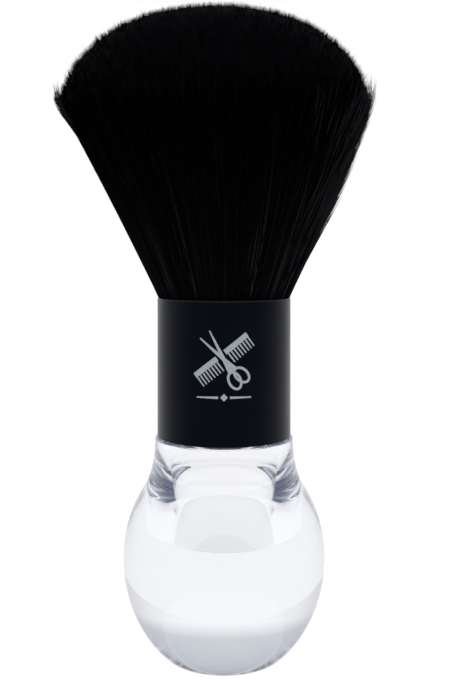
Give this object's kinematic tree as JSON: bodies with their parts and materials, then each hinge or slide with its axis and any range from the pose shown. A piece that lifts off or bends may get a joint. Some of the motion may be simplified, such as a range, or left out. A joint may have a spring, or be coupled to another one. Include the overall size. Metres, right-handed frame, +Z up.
{
  "type": "neck duster brush",
  "caption": "Barber's neck duster: a fan-shaped head of soft black bristles in a black metal ferrule, on a clear ball-shaped plastic handle with a flat base.",
  "frame": {"origin": "centre of the handle's flat base, on the surface that the brush stands on", "axes": "+Z up along the brush's axis, from the handle to the bristles; the brush is round, so X and Y are any two level directions, with the printed side towards -Y"},
  "size_m": [0.0778, 0.0778, 0.1615],
  "materials": {
    "clear_plastic": "clear, almost colourless moulded plastic, polished outside and slightly frosted in the bore",
    "black_lacquer": "satin black lacquer on thin aluminium tube",
    "cured_epoxy": "cured amber epoxy",
    "cup_plastic": "moulded black plastic",
    "waxed_thread": "waxed binding thread",
    "core_plastic": "moulded natural plastic",
    "black_filament": "fine black synthetic filament"
  },
  "bodies": {
    "root": {"clear_handle": "clear_plastic", "ferrule_sleeve": "black_lacquer", "handle_adhesive": "cured_epoxy", "cup_adhesive": "cured_epoxy", "knot_cup": "cup_plastic", "resin_plug": "cured_epoxy", "root_binding": "waxed_thread", "flare_core": "core_plastic", "bristle_knot": "black_filament"}
  },
  "joints": []
}
